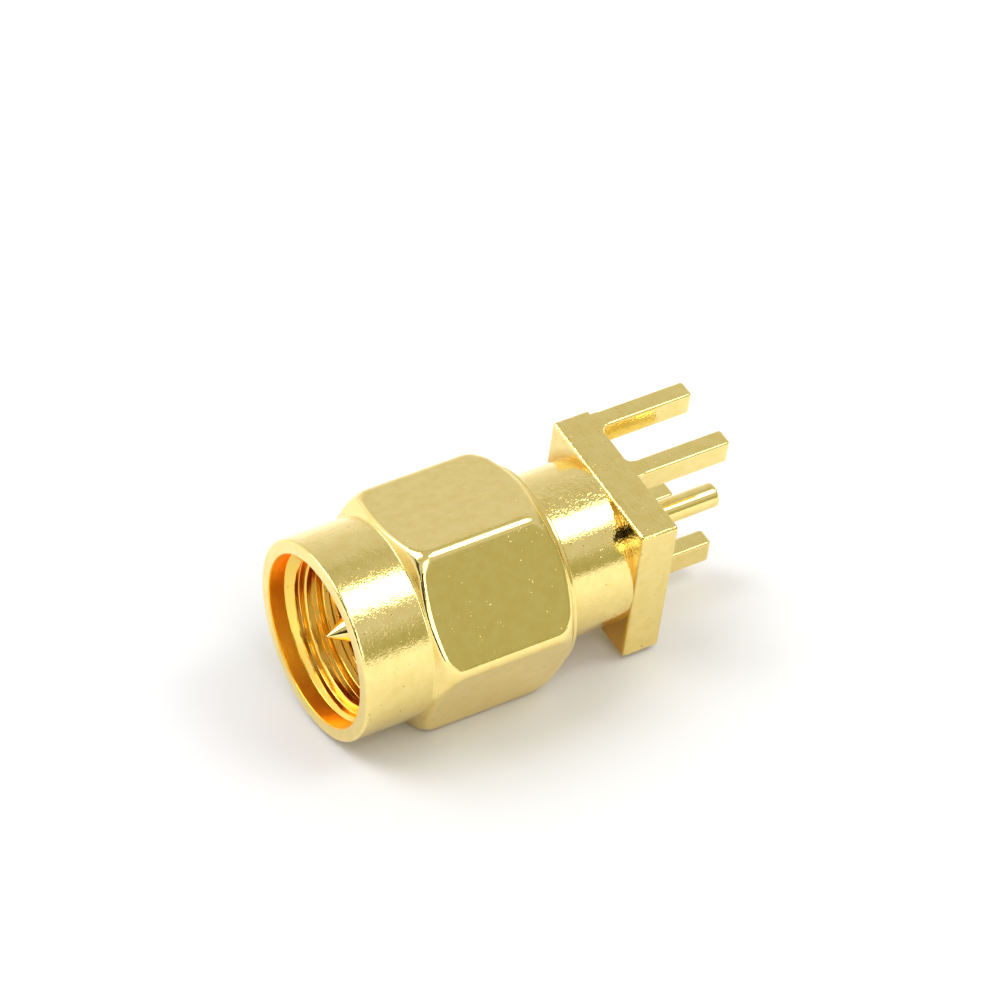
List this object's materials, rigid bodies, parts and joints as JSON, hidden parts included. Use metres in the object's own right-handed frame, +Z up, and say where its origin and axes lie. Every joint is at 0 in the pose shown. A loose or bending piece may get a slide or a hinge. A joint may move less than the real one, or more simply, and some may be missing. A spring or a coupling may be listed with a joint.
{
  "type": "coaxial plug connector",
  "caption": "Gold-plated SMA plug for a board edge: free-turning hexagonal nut, pointed centre pin, round barrel, square flange with legs and a solder tail.",
  "frame": {"origin": "on the connector axis at the back face of the flange, where the edge of the circuit board butts", "axes": "+X along the connector axis from the mouth of the nut to the solder tail; +Z up, with the part lying on one flat of its nut"},
  "size_m": [0.017, 0.0092, 0.008],
  "materials": {
    "body_gold": "machined brass, bright gold plating",
    "nut_gold": "machined brass, bright gold plating",
    "spring_bronze": "bare phosphor bronze",
    "white_ptfe": "machined PTFE",
    "red_silicone": "moulded silicone rubber",
    "contact_gold": "turned brass, bright gold plating"
  },
  "bodies": {
    "connector": {"connector_body": "body_gold", "retaining_ring": "spring_bronze", "dielectric": "white_ptfe", "gasket": "red_silicone", "centre_contact": "contact_gold"},
    "nut": {"coupling_nut": "nut_gold"}
  },
  "joints": [
    {"name": "nut_spin", "type": "hinge", "parent": "connector", "child": "nut", "pos_m": [-0.0055, 0, 0], "axis": [1, 0, 0], "continuous": true}
  ]
}
